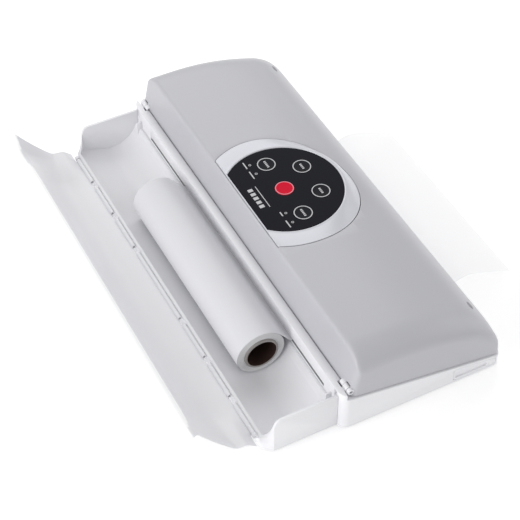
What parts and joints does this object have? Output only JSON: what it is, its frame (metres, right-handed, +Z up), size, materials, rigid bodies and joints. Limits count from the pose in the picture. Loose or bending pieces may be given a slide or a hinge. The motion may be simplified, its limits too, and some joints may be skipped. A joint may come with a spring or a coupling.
{
  "type": "vacuum sealer",
  "caption": "Countertop bag vacuum sealer: sloping white base, grey lid with a round button panel, open rear tray holding a roll of bag film that feeds through to the front.",
  "frame": {"origin": "on the table under the middle of the whole object, film included", "axes": "+X along the length of the machine, +Y away from the user towards the film tray, +Z up"},
  "size_m": [0.39, 0.3326, 0.0734],
  "materials": {
    "white_shell": "satin",
    "cover_grey_white": "satin",
    "lid_grey": "satin",
    "inner_grey": "matt",
    "silver_trim": "metallic silver, polished",
    "panel_black": "gloss",
    "key_black": "satin",
    "key_red": "satin",
    "lamp_clear": "clear",
    "steel": "plain",
    "rubber_black": "matt",
    "gasket_foam": "matt",
    "black_plastic": "matt",
    "heater_tape": "smooth coated glass cloth",
    "hose_clear": "translucent",
    "board_green": "satin",
    "board_parts": "satin",
    "copper_winding": "enamelled wire",
    "pin_brass": "polished",
    "film_clear": "translucent, embossed",
    "film_wound": "translucent, many layers",
    "core_card": "matt"
  },
  "bodies": {
    "base": {"base_shell": "white_shell", "film_guide_bar": "white_shell", "roll_tray": "white_shell", "bottom_cover": "cover_grey_white", "chamber_tray": "cover_grey_white", "lid_hinge_pins": "steel", "flap_pins": "steel", "bottom_screws": "steel", "tray_screws": "steel", "base_feet": "rubber_black", "tray_feet": "rubber_black", "lower_gasket": "gasket_foam", "pressure_strip": "gasket_foam", "film_web": "film_clear"},
    "lid": {"lid_cover": "lid_grey", "lid_inner_plate": "inner_grey", "lid_screws": "steel", "upper_gasket": "gasket_foam", "heating_bar": "black_plastic", "heater_strip": "steel", "heater_tape": "heater_tape", "intake_nozzle": "inner_grey", "air_hose": "hose_clear", "pump_head": "black_plastic", "pump_motor": "steel", "pump_cradle": "inner_grey", "transformer_core": "steel", "transformer_coil": "copper_winding", "power_board": "board_green", "board_parts": "board_parts", "power_inlet": "black_plastic", "inlet_pins": "pin_brass", "panel_bezel": "silver_trim", "panel_overlay": "panel_black", "control_board": "board_green", "tact_switches": "black_plastic", "lamp_lenses": "lamp_clear", "latch_hook_left": "cover_grey_white", "latch_hook_right": "cover_grey_white"},
    "flap": {"flap_door": "white_shell"},
    "roll": {"film_roll": "film_wound", "roll_core": "core_card"},
    "release_left": {"release_button_left": "white_shell", "release_spring_left": "steel"},
    "release_right": {"release_button_right": "white_shell", "release_spring_right": "steel"},
    "seal_key": {"seal_button": "key_black"},
    "pulse_key": {"pulse_button": "key_black"},
    "food_key": {"food_button": "key_black"},
    "vacuum_key": {"vacuum_button": "key_black"},
    "stop_key": {"stop_button": "key_red"}
  },
  "joints": [
    {"name": "lid_hinge", "type": "hinge", "parent": "base", "child": "lid", "pos_m": [0, 0.0377, 0.04], "axis": [-1, 0, 0], "range_deg": [0, 60]},
    {"name": "flap_hinge", "type": "hinge", "parent": "base", "child": "flap", "pos_m": [0, 0.1125, 0.013], "axis": [1, 0, 0], "range_deg": [0, 102]},
    {"name": "roll_spin", "type": "hinge", "parent": "base", "child": "roll", "pos_m": [0, 0.0747, 0.025], "axis": [1, 0, 0], "continuous": true},
    {"name": "release_left_press", "type": "slide", "parent": "base", "child": "release_left", "axis": [1, 0, 0], "range_m": [0, 0.003], "stiffness_N_per_m": 600},
    {"name": "release_right_press", "type": "slide", "parent": "base", "child": "release_right", "axis": [-1, 0, 0], "range_m": [0, 0.003], "stiffness_N_per_m": 600},
    {"name": "seal_press", "type": "slide", "parent": "lid", "child": "seal_key", "axis": [0, 0, -1], "range_m": [0, 0.0007], "stiffness_N_per_m": 1500},
    {"name": "pulse_press", "type": "slide", "parent": "lid", "child": "pulse_key", "axis": [0, 0, -1], "range_m": [0, 0.0007], "stiffness_N_per_m": 1500},
    {"name": "food_press", "type": "slide", "parent": "lid", "child": "food_key", "axis": [0, 0, -1], "range_m": [0, 0.0007], "stiffness_N_per_m": 1500},
    {"name": "vacuum_press", "type": "slide", "parent": "lid", "child": "vacuum_key", "axis": [0, 0, -1], "range_m": [0, 0.0007], "stiffness_N_per_m": 1500},
    {"name": "stop_press", "type": "slide", "parent": "lid", "child": "stop_key", "axis": [0, 0, -1], "range_m": [0, 0.0007], "stiffness_N_per_m": 1500}
  ]
}
